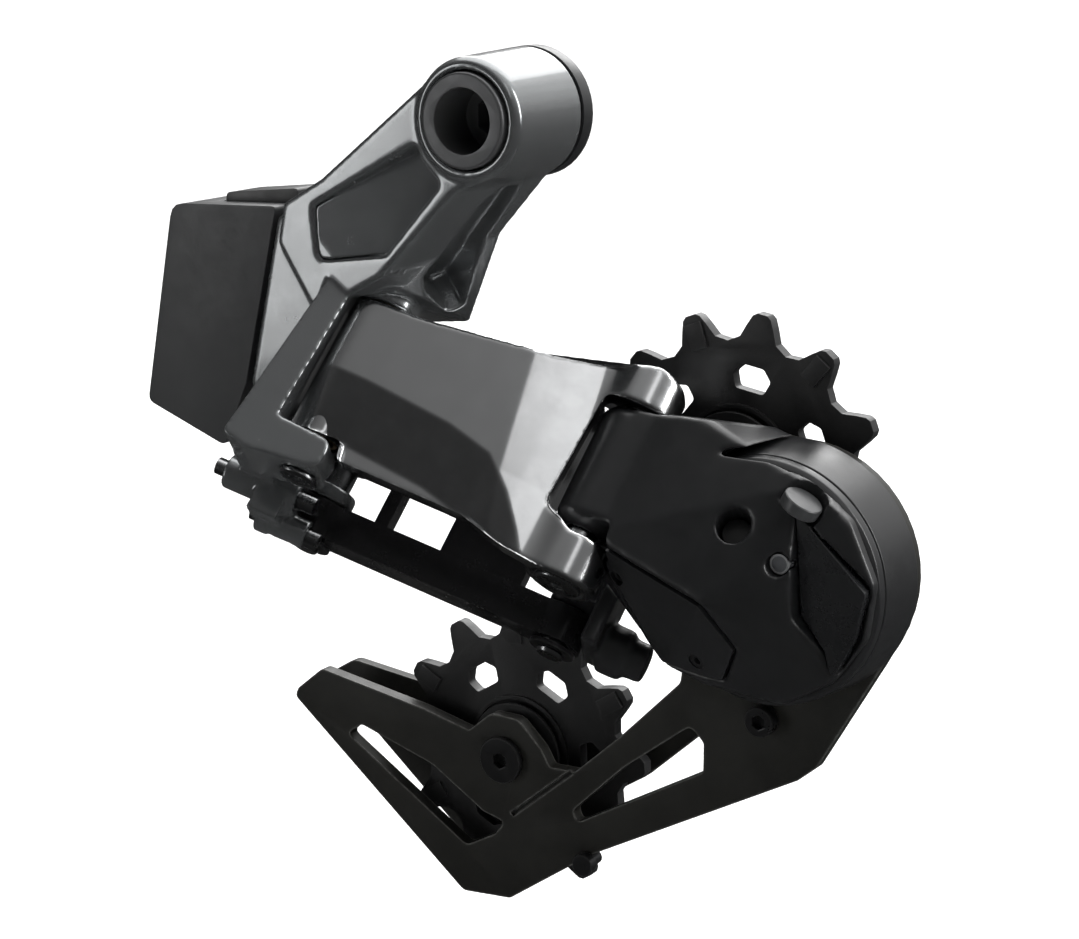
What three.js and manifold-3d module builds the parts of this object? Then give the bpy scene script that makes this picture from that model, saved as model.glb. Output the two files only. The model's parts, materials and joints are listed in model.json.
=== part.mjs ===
// Rear bicycle derailleur for a hanger bolt, as a scene graph of separate solids.
// Millimetres. +X points forward on the bicycle, +Y inboard towards the wheel, +Z up.
// The origin is on the hanger bolt's axis, in the plane where the stop washer meets the frame's hanger.
import * as THREE from 'three';
import { ConvexGeometry } from 'three/addons/geometries/ConvexGeometry.js';
import { mergeVertices } from 'three/addons/utils/BufferGeometryUtils.js';
import Module from 'manifold-3d';

const wasm = await Module();
wasm.setup();

// ---------------------------------------------------------------- driving dimensions

const GAP = 0.3;                       // clearance between neighbouring pieces

// Hanger bolt and upper barrel, along Y through the origin.
const BARREL_FRONT = -21.4;
const BARREL_BACK = -3.1;
const BARREL_RADIUS = 10.6;
const WASHER_RADIUS = 10.6;
const WASHER_THICKNESS = 2.8;
const BOLT_FRONT = -22.2;
const BOLT_HEAD_RADIUS = 7.6;
const BOLT_SOCKET_RADIUS = 5.2;
const BOLT_SHANK_RADIUS = 4.9;         // M10 thread, drawn plain
const BOLT_END = 8.5;

// Parallelogram: local frame with x along the links, y along the pins and z outwards.
const PIN_AXIS = new THREE.Vector3(0.10, 0.64, 0.76).normalize();
const LINK_ORIGIN = new THREE.Vector3(-22.3, -20.9, -42.0);
const LINK_LENGTH = 46;
const LINK_SPACING = 22.5;             // between the outer and the inner pins
const PIN_RADIUS = 2.5;
const BUSH_RADIUS = 3.3;
const PIN_HOLE = PIN_RADIUS + 0.15;

// Cage pivot and pulleys, all turning about Y.
const CAGE_X = 47.5;
const CAGE_Z = -70.4;
const UPPER_X = 33.1;
const UPPER_Z = -56.9;
const LOWER_X = -9.2;
const LOWER_Z = -114.9;
const PULLEY_Y = 10.0;
const TEETH = 12;
const CHAIN_PITCH = 12.7;
const ROLLER_RADIUS = 3.95;
const TOOTH_THICKNESS = 2.2;
const TIP_RADIUS = 25.6;
const OUTER_PLATE = [3.3, 5.7];        // Y of the outer cage plate's two faces
const INNER_PLATE = [14.3, 16.3];      // Y of the inner cage plate's two faces

// Damper drum on the cage pivot.
const DRUM_FRONT = -10.2;
const DRUM_BACK = 2.8;
const DRUM_FRONT_RADIUS = 20.0;
const DRUM_BACK_RADIUS = 21.2;

// Heights of the inner link's two arms and of the lugs between them, along the pins.
const INNER_LOWER = [-23.5, -17.3];
const INNER_UPPER = [-9.2, -4.0];
const LUG = [-16.9, -9.6];
const INNER_BOTTOM = INNER_LOWER[0];

// Limit screws, as (y, z) in the link frame.
const HIGH_SCREW = [-20.6, -13.5];
const LOW_SCREW = [-24.9, -16.8];

// Gear train between the motor and the outer link.
const GEAR_MODULE = 0.7;
const SECTOR_TEETH = 12;
const DRIVE_TEETH = 14;
const GEAR_SPAN = [-8.6, -5.6];
const GEAR_ANGLE = THREE.MathUtils.degToRad(-60);
const GEAR_DISTANCE = GEAR_MODULE * (SECTOR_TEETH + DRIVE_TEETH) / 2;
const DRIVE_X = LINK_LENGTH + GEAR_DISTANCE * Math.cos(GEAR_ANGLE);
const DRIVE_Z = GEAR_DISTANCE * Math.sin(GEAR_ANGLE);
const DRIVE_PHASE = GEAR_ANGLE + Math.PI + Math.PI / DRIVE_TEETH;

// Motor housing details.
const BACK_LIMIT = 6.2;                // the housing stays outboard of the pulleys
const CLEAR_OF_CAGE = 28.0;            // radius around the cage pivot that the cage plates sweep
const BUTTON = [69.8, -3.8, 10.3];     // on the main face, in the link frame
const LENS_X = 53.7;
const LENS_Z = -64.8;
const END_PLATE = [[55.2, -56.2, 0.5], [67.6, -67.6, 1], [66.0, -76, 1], [62.0, -83.2, 1], [60.8, -78.6], [56.2, -73]];
const BOARD = [[38, -69.5, 1], [58, -67.5, 1], [60, -72, 1], [56, -78, 1], [42, -77, 1], [37, -73, 1]];
const NOSE = [-21.0, -20.0];           // centre of the gearbox nose, (y, z) in the link frame
const faceNormal = new THREE.Vector3(-0.2249, 0, 0.974).normalize();
const faceMatrix = new THREE.Matrix4().makeBasis(
  new THREE.Vector3().crossVectors(new THREE.Vector3(0, 1, 0), faceNormal), new THREE.Vector3(0, 1, 0), faceNormal,
).setPosition(...BUTTON);
const LOCK_ANGLE = THREE.MathUtils.degToRad(60);
const lockOutward = new THREE.Vector3(Math.cos(LOCK_ANGLE), 0, Math.sin(LOCK_ANGLE));
const cageLockMatrix = new THREE.Matrix4()
  .makeBasis(new THREE.Vector3(0, 1, 0), lockOutward, new THREE.Vector3().crossVectors(
    new THREE.Vector3(0, 1, 0), lockOutward))
  .setPosition(CAGE_X + 18.6 * Math.cos(LOCK_ANGLE), -14.0, CAGE_Z + 18.6 * Math.sin(LOCK_ANGLE));

// Cage details.
const AXLE_RADIUS = 4.0;
const PEG_X = 8.3;
const PEG_Z = -130.6;
const STOP_X = 42.2;
const STOP_Z = -97.6;

// ---------------------------------------------------------------- materials

function metal(color, roughness, metalness = 0.85) {
  return new THREE.MeshStandardMaterial({ color, roughness, metalness });
}
function plastic(color, roughness) {
  return new THREE.MeshStandardMaterial({ color, roughness, metalness: 0 });
}
const greyPaint = metal(0x4a4f50, 0.3, 0.7);
const silverPaint = metal(0x8f9395, 0.25, 0.9);
const blackAnodised = metal(0x1c1d1e, 0.45, 0.5);
const blackSteel = metal(0x151617, 0.4, 0.7);
const steel = metal(0xa7aaad, 0.3, 1.0);
const brass = metal(0xb49a5a, 0.4, 1.0);
const satinBlack = plastic(0x17181a, 0.42);
const pulleyBlack = plastic(0x141516, 0.5);
const batteryGrey = plastic(0x34373a, 0.45);
const smokedLens = plastic(0x202326, 0.15);
const boardGreen = plastic(0x1f5a35, 0.6);
const rubber = plastic(0x0f0f10, 0.8);

// ---------------------------------------------------------------- geometry helpers

// Turns a closed three.js geometry into a manifold solid.
function solid(geometry) {
  const bare = geometry.clone();
  bare.deleteAttribute('normal');
  bare.deleteAttribute('uv');
  const merged = mergeVertices(bare, 1e-4);
  const position = merged.attributes.position.array;
  const index = merged.index.array;
  const triangles = [];
  let volume = 0;
  for (let i = 0; i < index.length; i += 3) {
    const [a, b, c] = [index[i], index[i + 1], index[i + 2]];
    if (a === b || b === c || c === a) continue;
    triangles.push(a, b, c);
    const corner = [a, b, c].map(k => new THREE.Vector3().fromArray(position, 3 * k));
    volume += corner[0].dot(corner[1].cross(corner[2]));
  }
  if (volume < 0) triangles.reverse();
  return new wasm.Manifold(new wasm.Mesh({
    numProp: 3,
    vertProperties: new Float32Array(position),
    triVerts: new Uint32Array(triangles),
  }));
}

function geometryOf(manifold) {
  const mesh = manifold.getMesh();
  const geometry = new THREE.BufferGeometry();
  geometry.setAttribute('position', new THREE.BufferAttribute(mesh.vertProperties, 3));
  geometry.setIndex(new THREE.BufferAttribute(mesh.triVerts, 1));
  geometry.computeVertexNormals();
  return geometry;
}

function join(...parts) {
  return parts.reduce((sum, part) => sum.add(part));
}

function cut(base, ...tools) {
  return tools.reduce((rest, tool) => rest.subtract(tool), base);
}

// Cylinder or cone along Y, centred on (x, z), from y0 to y1.
function rod(x, z, y0, y1, radius, sides = 24, endRadius = radius) {
  const geometry = new THREE.CylinderGeometry(endRadius, radius, y1 - y0, sides);
  geometry.translate(x, (y0 + y1) / 2, z);
  return solid(geometry);
}

// Solid of revolution about a line parallel to Y through (x, z); the profile is a list of [radius, y].
function turned(x, z, profile, sides = 36) {
  const closed = profile.map(([radius, y]) => new THREE.Vector2(radius, y));
  if (profile[0][0] > 0 || profile[profile.length - 1][0] > 0) closed.push(closed[0].clone());
  const geometry = new THREE.LatheGeometry(closed, sides);
  geometry.translate(x, 0, z);
  return solid(geometry);
}

function box(x0, x1, y0, y1, z0, z1) {
  const geometry = new THREE.BoxGeometry(x1 - x0, y1 - y0, z1 - z0);
  geometry.translate((x0 + x1) / 2, (y0 + y1) / 2, (z0 + z1) / 2);
  return solid(geometry);
}

// Closed outline through the points [a, b, radius], each corner rounded by its radius if it has one.
function outline(points) {
  const shape = new THREE.Shape();
  const count = points.length;
  points.forEach((point, i) => {
    const here = new THREE.Vector2(point[0], point[1]);
    const before = new THREE.Vector2(...points[(i + count - 1) % count].slice(0, 2));
    const after = new THREE.Vector2(...points[(i + 1) % count].slice(0, 2));
    const radius = point[2] || 0;
    const room = 0.48 * Math.min(before.distanceTo(here), after.distanceTo(here));
    const towardsBefore = before.sub(here).normalize();
    const towardsAfter = after.sub(here).normalize();
    const half = Math.acos(THREE.MathUtils.clamp(towardsBefore.dot(towardsAfter), -1, 1)) / 2;
    const reach = Math.min(radius / Math.tan(half), room);
    const start = here.clone().addScaledVector(towardsBefore, reach);
    const end = here.clone().addScaledVector(towardsAfter, reach);
    if (i === 0) shape.moveTo(start.x, start.y);
    else shape.lineTo(start.x, start.y);
    if (radius > 0) shape.quadraticCurveTo(here.x, here.y, end.x, end.y);
  });
  shape.closePath();
  return shape;
}

// Outline in (x, z), extruded along Y.
function alongY(shape, y0, y1, curveSegments = 3) {
  const geometry = new THREE.ExtrudeGeometry(shape, { depth: y1 - y0, bevelEnabled: false, curveSegments });
  geometry.rotateX(Math.PI / 2);
  geometry.translate(0, y1, 0);
  return solid(geometry);
}

// Outline in (x, y), extruded along Z.
function alongZ(shape, z0, z1, curveSegments = 3) {
  const geometry = new THREE.ExtrudeGeometry(shape, { depth: z1 - z0, bevelEnabled: false, curveSegments });
  geometry.translate(0, 0, z0);
  return solid(geometry);
}

// Prism between two outlines with the same number of [x, z] corners, at y0 and y1.
function loft(front, back, y0, y1) {
  const contour = front.map(([x, z]) => new THREE.Vector2(x, z));
  const caps = THREE.ShapeUtils.triangulateShape(contour, []);
  const count = front.length;
  const positions = [];
  front.forEach(([x, z]) => positions.push(x, y0, z));
  back.forEach(([x, z]) => positions.push(x, y1, z));
  const index = [];
  caps.forEach(([a, b, c]) => {
    index.push(a, b, c);
    index.push(count + a, count + c, count + b);
  });
  for (let i = 0; i < count; i++) {
    const next = (i + 1) % count;
    if (THREE.ShapeUtils.isClockWise(contour)) index.push(i, next, count + next, i, count + next, count + i);
    else index.push(i, count + next, next, i, count + i, count + next);
  }
  const geometry = new THREE.BufferGeometry();
  geometry.setAttribute('position', new THREE.Float32BufferAttribute(positions, 3));
  geometry.setIndex(index);
  return solid(geometry);
}

// The link frame: x along the links, y along the pins, z outwards.
const linkDirection = new THREE.Vector3(0.913, 0.241, -0.330);
linkDirection.addScaledVector(PIN_AXIS, -linkDirection.dot(PIN_AXIS)).normalize();
const outward = new THREE.Vector3().crossVectors(linkDirection, PIN_AXIS);
const linkMatrix = new THREE.Matrix4().makeBasis(linkDirection, PIN_AXIS, outward).setPosition(LINK_ORIGIN);
const worldToLink = linkMatrix.clone().invert();

function moved(manifold, matrix) {
  return solid(geometryOf(manifold).applyMatrix4(matrix));
}
const toWorld = manifold => moved(manifold, linkMatrix);
const toLink = manifold => moved(manifold, worldToLink);

// ---------------------------------------------------------------- scene

const derailleur = new THREE.Group();
const links = new THREE.Group();
links.applyMatrix4(linkMatrix);
derailleur.add(links);

function place(name, manifold, material, parent = derailleur) {
  const mesh = new THREE.Mesh(geometryOf(manifold), material);
  mesh.name = name;
  parent.add(mesh);
}

// ---------------------------------------------------------------- hanger bolt and stop washer

// Ring about a line parallel to Y through (x, z).
function ring(x, z, y0, y1, inner, outer, sides = 24) {
  return cut(rod(x, z, y0, y1, outer, sides), rod(x, z, y0 - 1, y1 + 1, inner, sides));
}

function makeHangerBolt() {
  const body = turned(0, 0, [
    [0, BOLT_END], [BOLT_SHANK_RADIUS - 0.8, BOLT_END], [BOLT_SHANK_RADIUS, BOLT_END - 0.8],
    [BOLT_SHANK_RADIUS, -9], [BOLT_HEAD_RADIUS, -9], [BOLT_HEAD_RADIUS, BOLT_FRONT + 0.3],
    [BOLT_HEAD_RADIUS - 0.3, BOLT_FRONT], [BOLT_SOCKET_RADIUS, BOLT_FRONT],
    [BOLT_SOCKET_RADIUS, -13], [0, -13],
  ]);
  const hexagon = rod(0, 0, -14, -7, 3.45, 6);
  return cut(body, hexagon);
}

function makeStopWasher() {
  const disc = ring(0, 0, -WASHER_THICKNESS, 0, BOLT_SHANK_RADIUS + GAP, WASHER_RADIUS, 48);
  const tab = box(-16, -4, -2.5, -0.3, -12.4, -8.9);
  return join(disc, tab);
}

// ---------------------------------------------------------------- upper knuckle

// Corners of the arm in (x, z), on its outboard and on its inboard face.
const ARM_FRONT = [
  [-3.6, 9.2], [-29.2, -11.0], [-37.0, -15.5], [-38.4, -22], [-31.5, -32.5], [-23.5, -29.6],
  [-17.2, -26.2], [-2.8, -11.6], [5.2, -8.5], [9.6, 0],
];
const ARM_BACK = [
  [-3.6, 9.2], [-29.2, -11.0], [-37.0, -15.5], [-38.4, -24], [-34, -37], [-24, -37],
  [-11.0, -35.6], [-4.6, -19.9], [4.2, -10.0], [9.6, 0],
];
// Sloping side wall of the arm: x runs down the arm, y inboard along the wall, z out of the wall.
const WALL_ORIGIN = new THREE.Vector3(-2.8, -20.4, -11.6);
const wallDown = new THREE.Vector3(-0.702, 0, -0.712).normalize();
const wallNormal = new THREE.Vector3(0.688, -0.258, -0.678).normalize();
const wallAcross = new THREE.Vector3().crossVectors(wallNormal, wallDown).normalize();
const wallMatrix = new THREE.Matrix4().makeBasis(wallDown, wallAcross, wallNormal).setPosition(WALL_ORIGIN);
const WALL_WINDOW = [
  [-3.2, 13.0, 0.5], [-2.1, 9.7, 1], [1.5, 7.9, 1], [15, 8.8, 1], [18.2, 7.4, 1], [20.6, 9.1, 1],
  [22.6, 14.2, 0.8], [20.4, 16.6, 0.8], [15, 15.6, 1], [6, 14.4, 1],
];
const WINDOW_DEPTH = 2.9;
const POCKET = [[-30.8, -15.6, 0.8], [-10.2, -4.4, 0.8], [-9.2, -7.0, 0.8], [-5.6, -10.4, 0.8], [-16.6, -22.6, 1],
  [-29.8, -24.5, 1.5]];

function makeKnuckleInLinkFrame() {
  // Leg beside the outer pin and foot below it.
  const leg = alongZ(outline([
    [-9.6, 13], [-4.9, 13], [-6.2, -13.8], [4.0, -14.4, 2], [4.0, -19.8, 3], [-9, -21.2, 1], [-13.4, -20, 1],
    [-12.8, -15.5],
  ]), -6.2, 6.0);
  const wall = box(-12.8, -6.8, -20.5, 14, -27, -3);
  const upperEar = join(rod(0, 0, 11.4, 17.5, 5.2, 28), box(-10, 0, 11.4, 17.5, -8, 5.0));
  const lug = join(
    rod(0, -LINK_SPACING, LUG[0], LUG[1], 4.3, 24),
    box(-10, 0, LUG[0], LUG[1], -LINK_SPACING - 4.3, -LINK_SPACING + 4.3),
  );
  const highBoss = alongX(-15.4, -2.0, HIGH_SCREW, 3.1);
  const lowBoss = alongX(-8.0, 1.2, LOW_SCREW, 2.6);
  const bossWeb = box(-9.0, -3.4, -26.0, -18, -18.8, -10.5);
  return join(leg, wall, upperEar, lug, highBoss, lowBoss, bossWeb);
}

function makeKnuckle() {
  const barrel = turned(0, 0, [
    [0, BARREL_BACK], [BARREL_RADIUS - 0.3, BARREL_BACK], [BARREL_RADIUS, BARREL_BACK - 0.3],
    [9.9, BARREL_FRONT + 1.2], [9.0, BARREL_FRONT], [0, BARREL_FRONT],
  ], 44);
  const arm = loft(ARM_FRONT, ARM_BACK, -20.4, -3.4);
  const batteryPlate = alongY(outline([[-37.4, -15.6], [-40.0, -18.6, 0.5], [-46.6, -47.2, 0.5], [-43, -51],
    [-33, -40], [-28, -28]]), -18.4, -4);
  const adjusterLug = box(-16.8, -10.9, -4.6, -0.4, -6.6, -2.6);
  const body = join(barrel, arm, batteryPlate, adjusterLug, toWorld(makeKnuckleInLinkFrame()));

  const boltRoom = rod(0, 0, -24, -8.8, BOLT_HEAD_RADIUS + 0.25, 40);
  const bushRoom = rod(0, 0, -10, 0, 6.6, 32);
  const pocket = alongY(outline(POCKET), -21, -18.4);
  const window = moved(alongZ(outline(WALL_WINDOW), -WINDOW_DEPTH, 12), wallMatrix);
  const outerLinkRoom = join(
    rod(0, 0, -14.2, 11.2, 6.0, 28),
    box(0, 44, -14.2, 11.2, -10, 14),
    box(4.2, 44, -19.5, 11.2, -10, 14),
    alongY(outline([[0, 0], [30, 30], [60, 8], [60, -60], [-5, -60]]), -14.2, 11.2),
  );
  const innerLinkRoom = join(
    rod(0, -LINK_SPACING, INNER_LOWER[0] - 0.3, INNER_LOWER[1] + 0.3, 5.4, 24),
    rod(0, -LINK_SPACING, INNER_UPPER[0] - 0.3, INNER_UPPER[1] + 0.3, 5.4, 24),
    alongY(outline([[0, -17.3], [46, -17.3], [46, -60], [-12, -60], [-5.2, -24]]), INNER_LOWER[0] - 0.3, 2),
    cut(box(-5.5, 10, -40, INNER_LOWER[1] + 0.3, -30, -16.5), box(-8, 20, -40, -28, -40, 0)),
  );
  const lugKept = rod(0, -LINK_SPACING, LUG[0], LUG[1], 4.3, 24);
  const footRoom = box(0.8, 6, -22, -13.2, -10, -2.6);
  const pinHoles = join(
    rod(0, 0, -22, 17.1, PIN_RADIUS + 0.06, 24),
    rod(0, 0, -22, -20.0, PIN_RADIUS + 1.2, 24),
    rod(0, -LINK_SPACING, -30, 2, PIN_RADIUS + 0.06, 24),
  );
  const screwHoles = join(alongX(-30, 10, HIGH_SCREW, 1.62, 16), alongX(-14, 10, LOW_SCREW, 1.32, 16));
  const adjusterHole = upright(-13.8, -1.9, -9, 0, 1.22);
  const carved = cut(body, toWorld(join(outerLinkRoom, footRoom, cut(innerLinkRoom, lugKept))));
  return cut(carved, boltRoom, bushRoom, pocket, window, toWorld(pinHoles), toWorld(screwHoles), adjusterHole);
}

// Cylinder along X, centred on the point (y, z).
function alongX(x0, x1, [y, z], radius, sides = 20) {
  const geometry = new THREE.CylinderGeometry(radius, radius, x1 - x0, sides);
  geometry.rotateZ(Math.PI / 2);
  geometry.translate((x0 + x1) / 2, y, z);
  return solid(geometry);
}

// Cylinder along Z, centred on (x, y).
function upright(x, y, z0, z1, radius, sides = 16) {
  const geometry = new THREE.CylinderGeometry(radius, radius, z1 - z0, sides);
  geometry.rotateX(Math.PI / 2);
  geometry.translate(x, y, (z0 + z1) / 2);
  return solid(geometry);
}

function makeAdjusterScrew() {
  return join(upright(-13.8, -1.9, -8.5, -2.0, 1.1), upright(-13.8, -1.9, -2.3, -0.8, 1.5));
}

// ---------------------------------------------------------------- battery

const BATTERY = [[-62.6, -17.4, 3], [-69.6, -52.8, 1.5], [-52.4, -59.0, 1.5], [-47.3, -47.2, 0.3],
  [-40.4, -18.4, 0.3], [-39.8, -16.4, 0.8]];

function makeBattery() {
  const shell = alongY(outline(BATTERY), -18.6, -4.6);
  const contactRoom = box(-46.5, -40, -13.2, -8.8, -33, -24);
  const latchRoom = box(-56, -39, -13.5, -3, -18.6, -10);
  return cut(shell, contactRoom, latchRoom);
}

function makeBatteryContacts() {
  return box(-44.3, -43.4, -12.6, -9.4, -32, -25);
}

function makeBatteryLatch() {
  return alongY(outline([[-39.4, -13.9, 0.8], [-39.8, -18.0, 0.4], [-55.2, -18.2, 0.5], [-55.0, -15.6, 1]]), -13, -4.6);
}

// ---------------------------------------------------------------- pins, clips and link screws

// Pin with a round head at its lower end.
function makePin(x, z, y0, y1, headRadius) {
  const pin = turned(x, z, [
    [0, y1], [PIN_RADIUS - 0.4, y1], [PIN_RADIUS, y1 - 0.4], [PIN_RADIUS, y0 + 0.9], [headRadius, y0 + 0.9],
    [headRadius, y0 + 0.3], [headRadius - 0.4, y0], [0, y0],
  ], 24);
  return cut(pin, rod(x, z, y0 - 1, y0 + 0.6, 1.3, 6));
}

// Pin with a groove for a clip near its lower end.
function makeClippedPin(x, z, y0, y1) {
  return turned(x, z, [
    [0, y1], [PIN_RADIUS - 0.4, y1], [PIN_RADIUS, y1 - 0.4], [PIN_RADIUS, y0 + 1.9], [PIN_RADIUS - 0.6, y0 + 1.9],
    [PIN_RADIUS - 0.6, y0 + 0.7], [PIN_RADIUS, y0 + 0.7], [PIN_RADIUS - 0.3, y0], [0, y0],
  ], 24);
}

function makeClip(x, z, y) {
  const clip = ring(x, z, y - 0.35, y + 0.35, PIN_RADIUS - 0.45, 4.1, 24);
  return cut(clip, box(x - 1.5, x + 1.5, y - 1, y + 1, z - 6, z));
}

function makeLimitScrew(x0, x1, centre, radius) {
  const screw = alongX(x0, x1, centre, radius, 16);
  const socket = alongX(x0 - 1, x0 + 1.2, centre, radius * 0.55, 6);
  return cut(screw, socket);
}

// ---------------------------------------------------------------- links

const OUTER_LINK_PLAN = [
  [5.5, -16.8, 1], [28.4, -17.2, 4], [36, -19.2, 4], [44, -20.0, 1], [52.4, -20.0, 3], [52.4, -12.3],
  [45, -12.3], [39.6, -9.4, 2], [40.6, 11.4, 1.6], [52.4, 11.4], [52.4, 17.6, 3], [47, 18.8, 3], [36, 15.4, 6],
  [30, 13.6, 4], [16, 11.8], [8, 10.9], [-5.6, 10.9], [-5.6, -13.6], [5.0, -13.6],
];

function makeOuterLink() {
  const arch = new THREE.Shape();
  arch.moveTo(0, 5.4);
  arch.quadraticCurveTo(23, 7.2, LINK_LENGTH, 6.2);
  arch.lineTo(LINK_LENGTH, 1);
  arch.quadraticCurveTo(23, 2.6, 0, 1);
  arch.closePath();
  const profile = join(
    alongY(arch, -22, 20, 8),
    rod(0, 0, -22, 20, 5.4, 32),
    rod(LINK_LENGTH, 0, -22, 20, 6.2, 32),
  );
  const body = profile.intersect(alongZ(outline(OUTER_LINK_PLAN), -8, 9));
  const endWall = box(37.0, 39.6, -10.0, 12.5, -6.9, 2.6);
  return join(endWall, cut(
    body,
    rod(0, 0, -22, 20, BUSH_RADIUS + 0.12, 28),
    rod(LINK_LENGTH, 0, -22, 20, PIN_RADIUS + 0.06, 24),
    rod(LINK_LENGTH, 0, -22, -19.1, 4.3, 28),
    box(36, 60, -12.3, 11.4, -10, 1.2),
  ));
}

function makeInnerArm(y0, y1) {
  const plate = alongY(outline([[0, -LINK_SPACING + 3.4], [LINK_LENGTH, -LINK_SPACING + 3.4],
    [LINK_LENGTH, -LINK_SPACING - 3.4], [0, -LINK_SPACING - 3.4]]), y0, y1);
  return join(plate, rod(0, -LINK_SPACING, y0, y1, 4.6, 24), rod(LINK_LENGTH, -LINK_SPACING, y0, y1, 4.6, 24));
}

function makeInnerLink() {
  const arms = join(makeInnerArm(...INNER_LOWER), makeInnerArm(...INNER_UPPER));
  const post = box(9.6, 12.0, INNER_LOWER[1] - 1, INNER_UPPER[0] + 1, -LINK_SPACING - 2, -LINK_SPACING + 3);
  const web = box(22, 37, INNER_LOWER[1] - 1, INNER_UPPER[0] + 1, -LINK_SPACING - 2, -LINK_SPACING + 3);
  return cut(
    join(arms, post, web),
    rod(0, -LINK_SPACING, -30, 5, PIN_HOLE, 24),
    rod(LINK_LENGTH, -LINK_SPACING, -30, 5, PIN_RADIUS + 0.25, 24),
  );
}

// Spur gear with straight-sided teeth; phase is the angle of one tooth from +x towards +z.
function gear(x, z, y0, y1, teeth, phase, bore) {
  const pitchRadius = teeth * GEAR_MODULE / 2;
  const tip = pitchRadius + 0.75 * GEAR_MODULE;
  const root = pitchRadius - 1.15 * GEAR_MODULE;
  const shape = new THREE.Shape();
  const step = 2 * Math.PI / teeth;
  for (let i = 0; i < teeth; i++) {
    const middle = phase + i * step;
    const corners = [[root, -0.34], [tip, -0.12], [tip, 0.12], [root, 0.34]];
    corners.forEach(([radius, share], k) => {
      const angle = middle + share * step;
      const point = [x + radius * Math.cos(angle), z + radius * Math.sin(angle)];
      if (i === 0 && k === 0) shape.moveTo(...point);
      else shape.lineTo(...point);
    });
  }
  shape.closePath();
  const wheel = alongY(shape, y0, y1);
  return bore > 0 ? cut(wheel, rod(x, z, y0 - 1, y1 + 1, bore, 20)) : wheel;
}

function makeDriveGear() {
  const wheel = gear(DRIVE_X, DRIVE_Z, ...GEAR_SPAN, DRIVE_TEETH, DRIVE_PHASE, 0);
  return join(wheel, rod(DRIVE_X, DRIVE_Z, GEAR_SPAN[1] - 0.5, GEAR_SPAN[1] + 2.6, 1.2, 16));
}

function makeMotor() {
  const can = rod(DRIVE_X, DRIVE_Z, GEAR_SPAN[1] + GAP, 4.0, 4.2, 24);
  return cut(can, rod(DRIVE_X, DRIVE_Z, GEAR_SPAN[1] - 1, GEAR_SPAN[1] + 3, 1.4, 16));
}

// ---------------------------------------------------------------- motor housing

// Motor block seen along the pins: x along the links, z outwards.
const BLOCK_PROFILE = [
  [LINK_LENGTH, 5.4], [70, 10.7], [77, 12.0], [82, 8], [76, -8], [60, -13.5], [50.5, -14.0, 3], [44.4, -11, 2],
  [44.4, -6], [LINK_LENGTH, -5.4],
];
// Motor block seen from outboard: x along the links, y along the pins.
const BLOCK_PLAN = [
  [40.3, -11.8], [52, -12.0], [60, -13.4], [69, -16.2, 3], [78, -19, 3], [86, -12], [80, 1.0, 3], [71, 5.0, 3],
  [56, 9.4], [49, 11.0], [40.3, 11.0],
];
// Corners of the faceted body: along the motor block in the link frame, then in the part's frame.
const BODY_IN_LINK_FRAME = [
  [48, 10.9, 5.4], [56, 9.2, 7.1], [72.2, 4.6, 10.9], [48, -11.9, 5.4], [53, -11.9, 6.4], [60, -13.4, 8.0],
  [69, -16.2, 10.1], [48, 10.9, -4], [48, -11.9, -8],
];
const BODY_CORNERS = [
  [24.5, -12.4, -77.5], [31.8, -12.0, -86.2], [38.7, -12.2, -88.1], [53.1, -12.8, -88.8], [61.6, -13.3, -83.6],
  [66.9, -13.2, -76], [68.1, -13.0, -67], [63.8, -13.0, -57.6], [56.5, -12.6, -52.8],
  [22, 1.6, -79], [30, 1.6, -86], [48, 1.6, -88.6], [61.2, -6, -83.4], [66.6, -6, -76], [67.6, -6, -67],
  [63.2, -6, -57.6], [55, 1.6, -51.5], [44, 1.6, -48], [20, 1.6, -62],
];
// Plane of the gearbox cover, which closes the underside of the motor block.
const coverOrigin = new THREE.Vector3(26.4, -20.4, -64.6);
const coverAlong = new THREE.Vector3(43.1, -21.6, -71.0).sub(coverOrigin).normalize();
const coverNormal = new THREE.Vector3().crossVectors(
  new THREE.Vector3(31.8, -12.0, -86.2).sub(coverOrigin), coverAlong).normalize();
if (coverNormal.y > 0) coverNormal.negate();
const coverUp = new THREE.Vector3().crossVectors(coverNormal, coverAlong).normalize();
const coverMatrix = new THREE.Matrix4().makeBasis(coverAlong, coverUp, coverNormal).setPosition(coverOrigin);
const HOUSING_SCREWS = [[1.6, -6.6], [17.8, -15.0]];   // on the gearbox cover, in its plane

const TOP_FRONT = [[35.6, -46.0], [45.7, -49.4], [49.4, -51.5]];   // top edge of the body at y = -7
const TOP_BACK = [[32.8, -47.4], [42.7, -51.0], [46.4, -53.2]];    // and at y = -1

function drumRoom() {
  return join(
    rod(CAGE_X, CAGE_Z, DRUM_FRONT - GAP, 40, DRUM_BACK_RADIUS + GAP, 48),
    rod(CAGE_X, CAGE_Z, DRUM_BACK, 40, CLEAR_OF_CAGE, 48),
  );
}

function convex(points) {
  return solid(new ConvexGeometry(points));
}

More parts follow.
